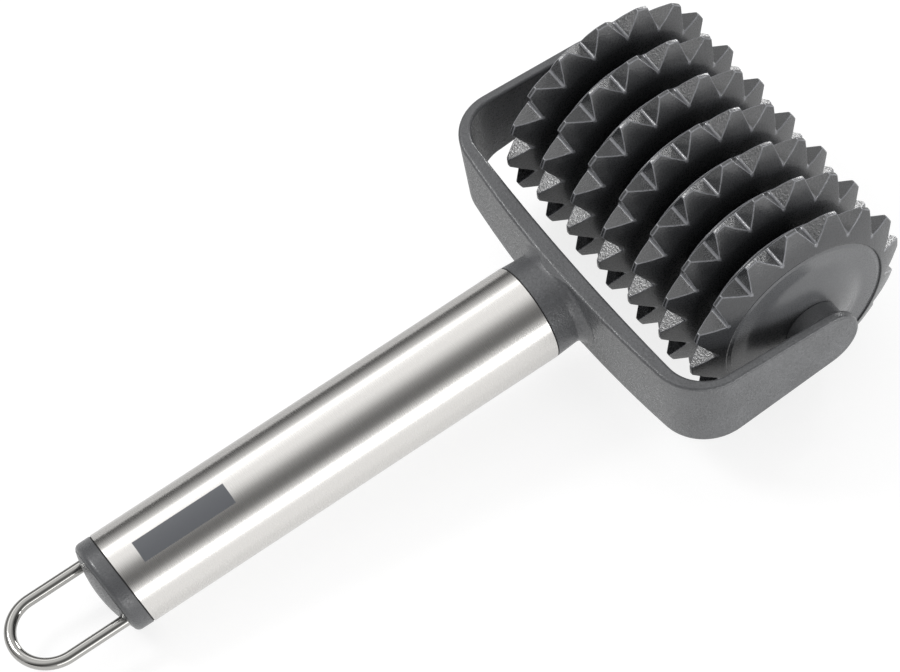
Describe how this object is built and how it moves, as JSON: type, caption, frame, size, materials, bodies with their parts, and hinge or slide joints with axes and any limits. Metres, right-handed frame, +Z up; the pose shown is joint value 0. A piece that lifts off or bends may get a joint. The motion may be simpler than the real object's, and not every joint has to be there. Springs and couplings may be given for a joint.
{
  "type": "hand roller meat tenderiser",
  "caption": "Meat tenderiser: a roller of toothed discs turns in a U-shaped yoke on a round metal tube handle with a wire hanging loop.",
  "frame": {"origin": "middle of the grip tube, on its axis", "axes": "+X along the handle towards the roller, +Y along the roller's axle, +Z up"},
  "size_m": [0.2287, 0.1038, 0.0606],
  "materials": {
    "tube_steel": "stainless tube, brushed round the tube",
    "wire_steel": "stainless wire, polished",
    "yoke_nylon": "glass-filled nylon, fine satin texture",
    "roller_nylon": "glass-filled nylon, fine satin texture",
    "cap_nylon": "glass-filled nylon, fine satin texture",
    "core_nylon": "plain moulded nylon",
    "seal_rubber": "black rubber",
    "axle_steel": "ground stainless rod",
    "bearing_acetal": "natural acetal"
  },
  "bodies": {
    "handle_and_yoke": {"yoke_frame": "yoke_nylon", "handle_tube": "tube_steel", "seal_ring_front": "seal_rubber", "seal_ring_rear": "seal_rubber", "end_cap": "cap_nylon", "hanging_loop": "wire_steel", "axle_pin": "axle_steel", "thrust_washer_near": "bearing_acetal", "thrust_washer_far": "bearing_acetal"},
    "roller": {"roller_core": "core_nylon", "bush_near": "bearing_acetal", "bush_far": "bearing_acetal", "end_cover_near": "roller_nylon", "end_cover_far": "roller_nylon", "toothed_disc_1": "roller_nylon", "toothed_disc_2": "roller_nylon", "toothed_disc_3": "roller_nylon", "toothed_disc_4": "roller_nylon", "toothed_disc_5": "roller_nylon", "toothed_disc_6": "roller_nylon", "toothed_disc_7": "roller_nylon", "spacer_ring_1": "core_nylon", "spacer_ring_2": "core_nylon", "spacer_ring_3": "core_nylon", "spacer_ring_4": "core_nylon", "spacer_ring_5": "core_nylon", "spacer_ring_6": "core_nylon"}
  },
  "joints": [
    {"name": "roller_spin", "type": "hinge", "parent": "handle_and_yoke", "child": "roller", "pos_m": [0.10895, 0, -0.0003], "axis": [0, 1, 0], "continuous": true}
  ]
}
